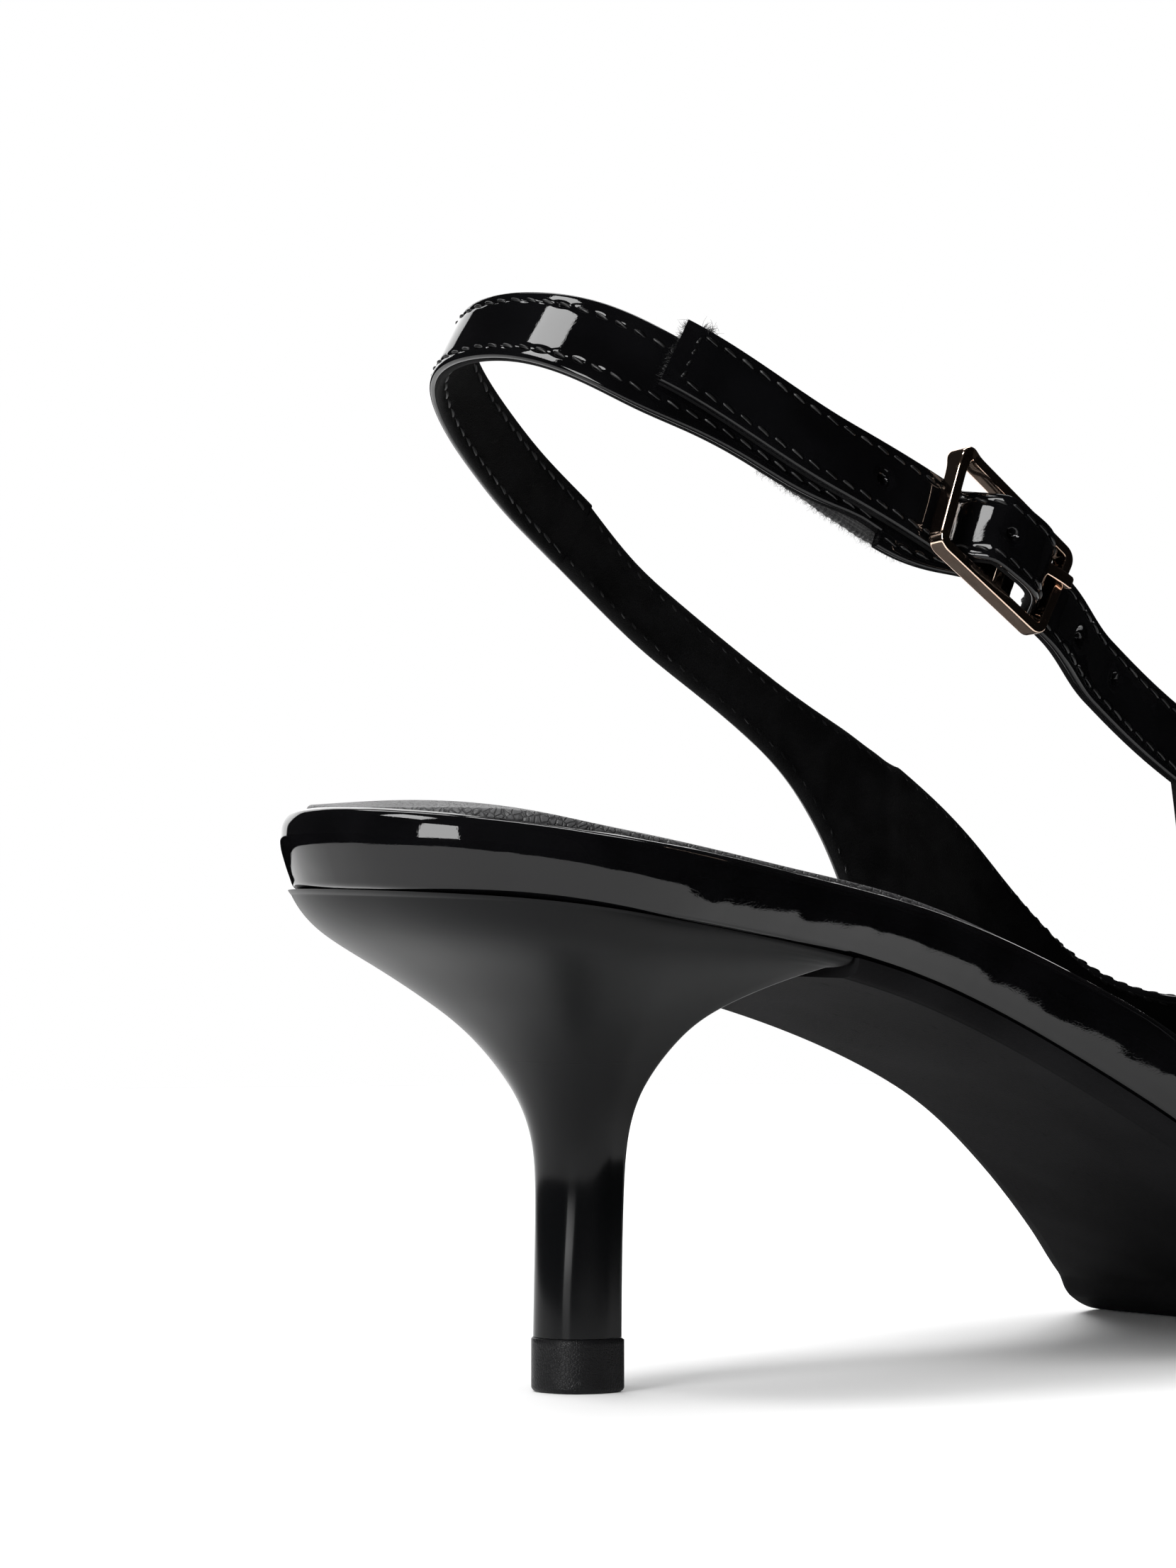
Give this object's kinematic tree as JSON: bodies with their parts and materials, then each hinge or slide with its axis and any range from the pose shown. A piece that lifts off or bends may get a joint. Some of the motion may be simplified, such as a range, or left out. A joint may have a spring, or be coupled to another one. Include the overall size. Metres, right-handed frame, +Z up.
{
  "type": "slingback pump",
  "caption": "Pointed slingback pump in patent leather, with a slim mid-height heel, an open back, and a sling strap that buckles on the outer side over an elastic.",
  "frame": {"origin": "middle of the heel tip's flat face, on the floor", "axes": "+X from the heel towards the toe, along the sole's line; +Y to the inner, big-toe side; +Z up from the floor"},
  "size_m": [0.2507, 0.0779, 0.1205],
  "materials": {
    "patent_leather": "black patent, mirror gloss",
    "outsole_leather": "black, satin",
    "heel_gloss": "black lacquer, gloss",
    "tip_rubber": "black, satin",
    "sock_leather": "black, fine grain, matte",
    "elastic_fabric": "black woven elastic, matte",
    "rose_gold_metal": "polished light rose gold"
  },
  "bodies": {
    "root": {"outsole": "outsole_leather", "heel": "heel_gloss", "top_piece": "tip_rubber", "footbed": "patent_leather", "sock": "sock_leather", "upper": "patent_leather", "sling_strap": "patent_leather", "buckle_strap": "patent_leather", "buckle_tab": "patent_leather", "elastic": "elastic_fabric", "buckle_frame": "rose_gold_metal", "buckle_prong": "rose_gold_metal"}
  },
  "joints": []
}
